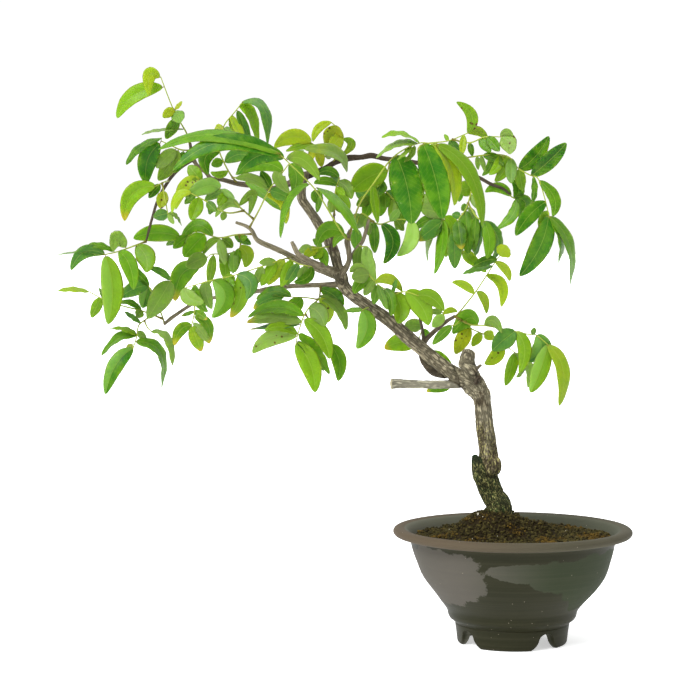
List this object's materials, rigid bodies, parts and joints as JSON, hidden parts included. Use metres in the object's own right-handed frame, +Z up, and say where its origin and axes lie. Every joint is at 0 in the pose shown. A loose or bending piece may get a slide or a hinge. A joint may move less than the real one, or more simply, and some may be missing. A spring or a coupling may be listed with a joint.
{
  "type": "potted bonsai tree",
  "caption": "Wisteria bonsai with a bare leaning trunk and arching sprays of long pointed leaflets, in a round unglazed clay pot with a flared rim and a cut-away foot ring.",
  "frame": {"origin": "middle of the whole object's bounding box, at the level that the pot's feet stand on", "axes": "+Z up; +X to the right as the front is seen, towards the pot; -Y towards the viewer of the front, so the crown's long way lies along X"},
  "size_m": [0.6006, 0.25, 0.5979],
  "materials": {
    "pot_clay": "matte",
    "soil_grit": "matte",
    "bark": "matte",
    "leaf_green": "satin",
    "leaf_yellow_green": "satin"
  },
  "bodies": {
    "root": {"pot": "pot_clay", "soil": "soil_grit", "trunk": "bark", "frond_top_left": "leaf_green", "frond_left_shoulder": "leaf_green", "frond_front_left": "leaf_green", "frond_top_centre": "leaf_green", "frond_top_yellow": "leaf_yellow_green", "spray_branch_end": "leaf_green", "spray_left_twig": "leaf_green", "frond_far_left": "leaf_green", "spray_left_end": "leaf_green", "frond_lower_left": "leaf_yellow_green", "spray_middle_left": "leaf_green", "spray_dense_left": "leaf_green", "spray_below_branch": "leaf_green", "leaf_below_main": "leaf_green", "spray_fork": "leaf_green", "spray_inner_top": "leaf_green", "frond_front_right": "leaf_green", "spray_back_centre": "leaf_green", "frond_middle": "leaf_green", "frond_middle_right": "leaf_green", "leaves_below_fork": "leaf_green", "frond_top_right": "leaf_green", "frond_right": "leaf_green", "leaves_right_end": "leaf_green", "spray_hanging": "leaf_green", "frond_right_middle": "leaf_green", "spray_right_low": "leaf_green", "frond_centre_low": "leaf_green", "leaves_on_low_branch": "leaf_green", "leaves_behind_main": "leaf_green", "leaf_under_stub": "leaf_green"}
  },
  "joints": []
}
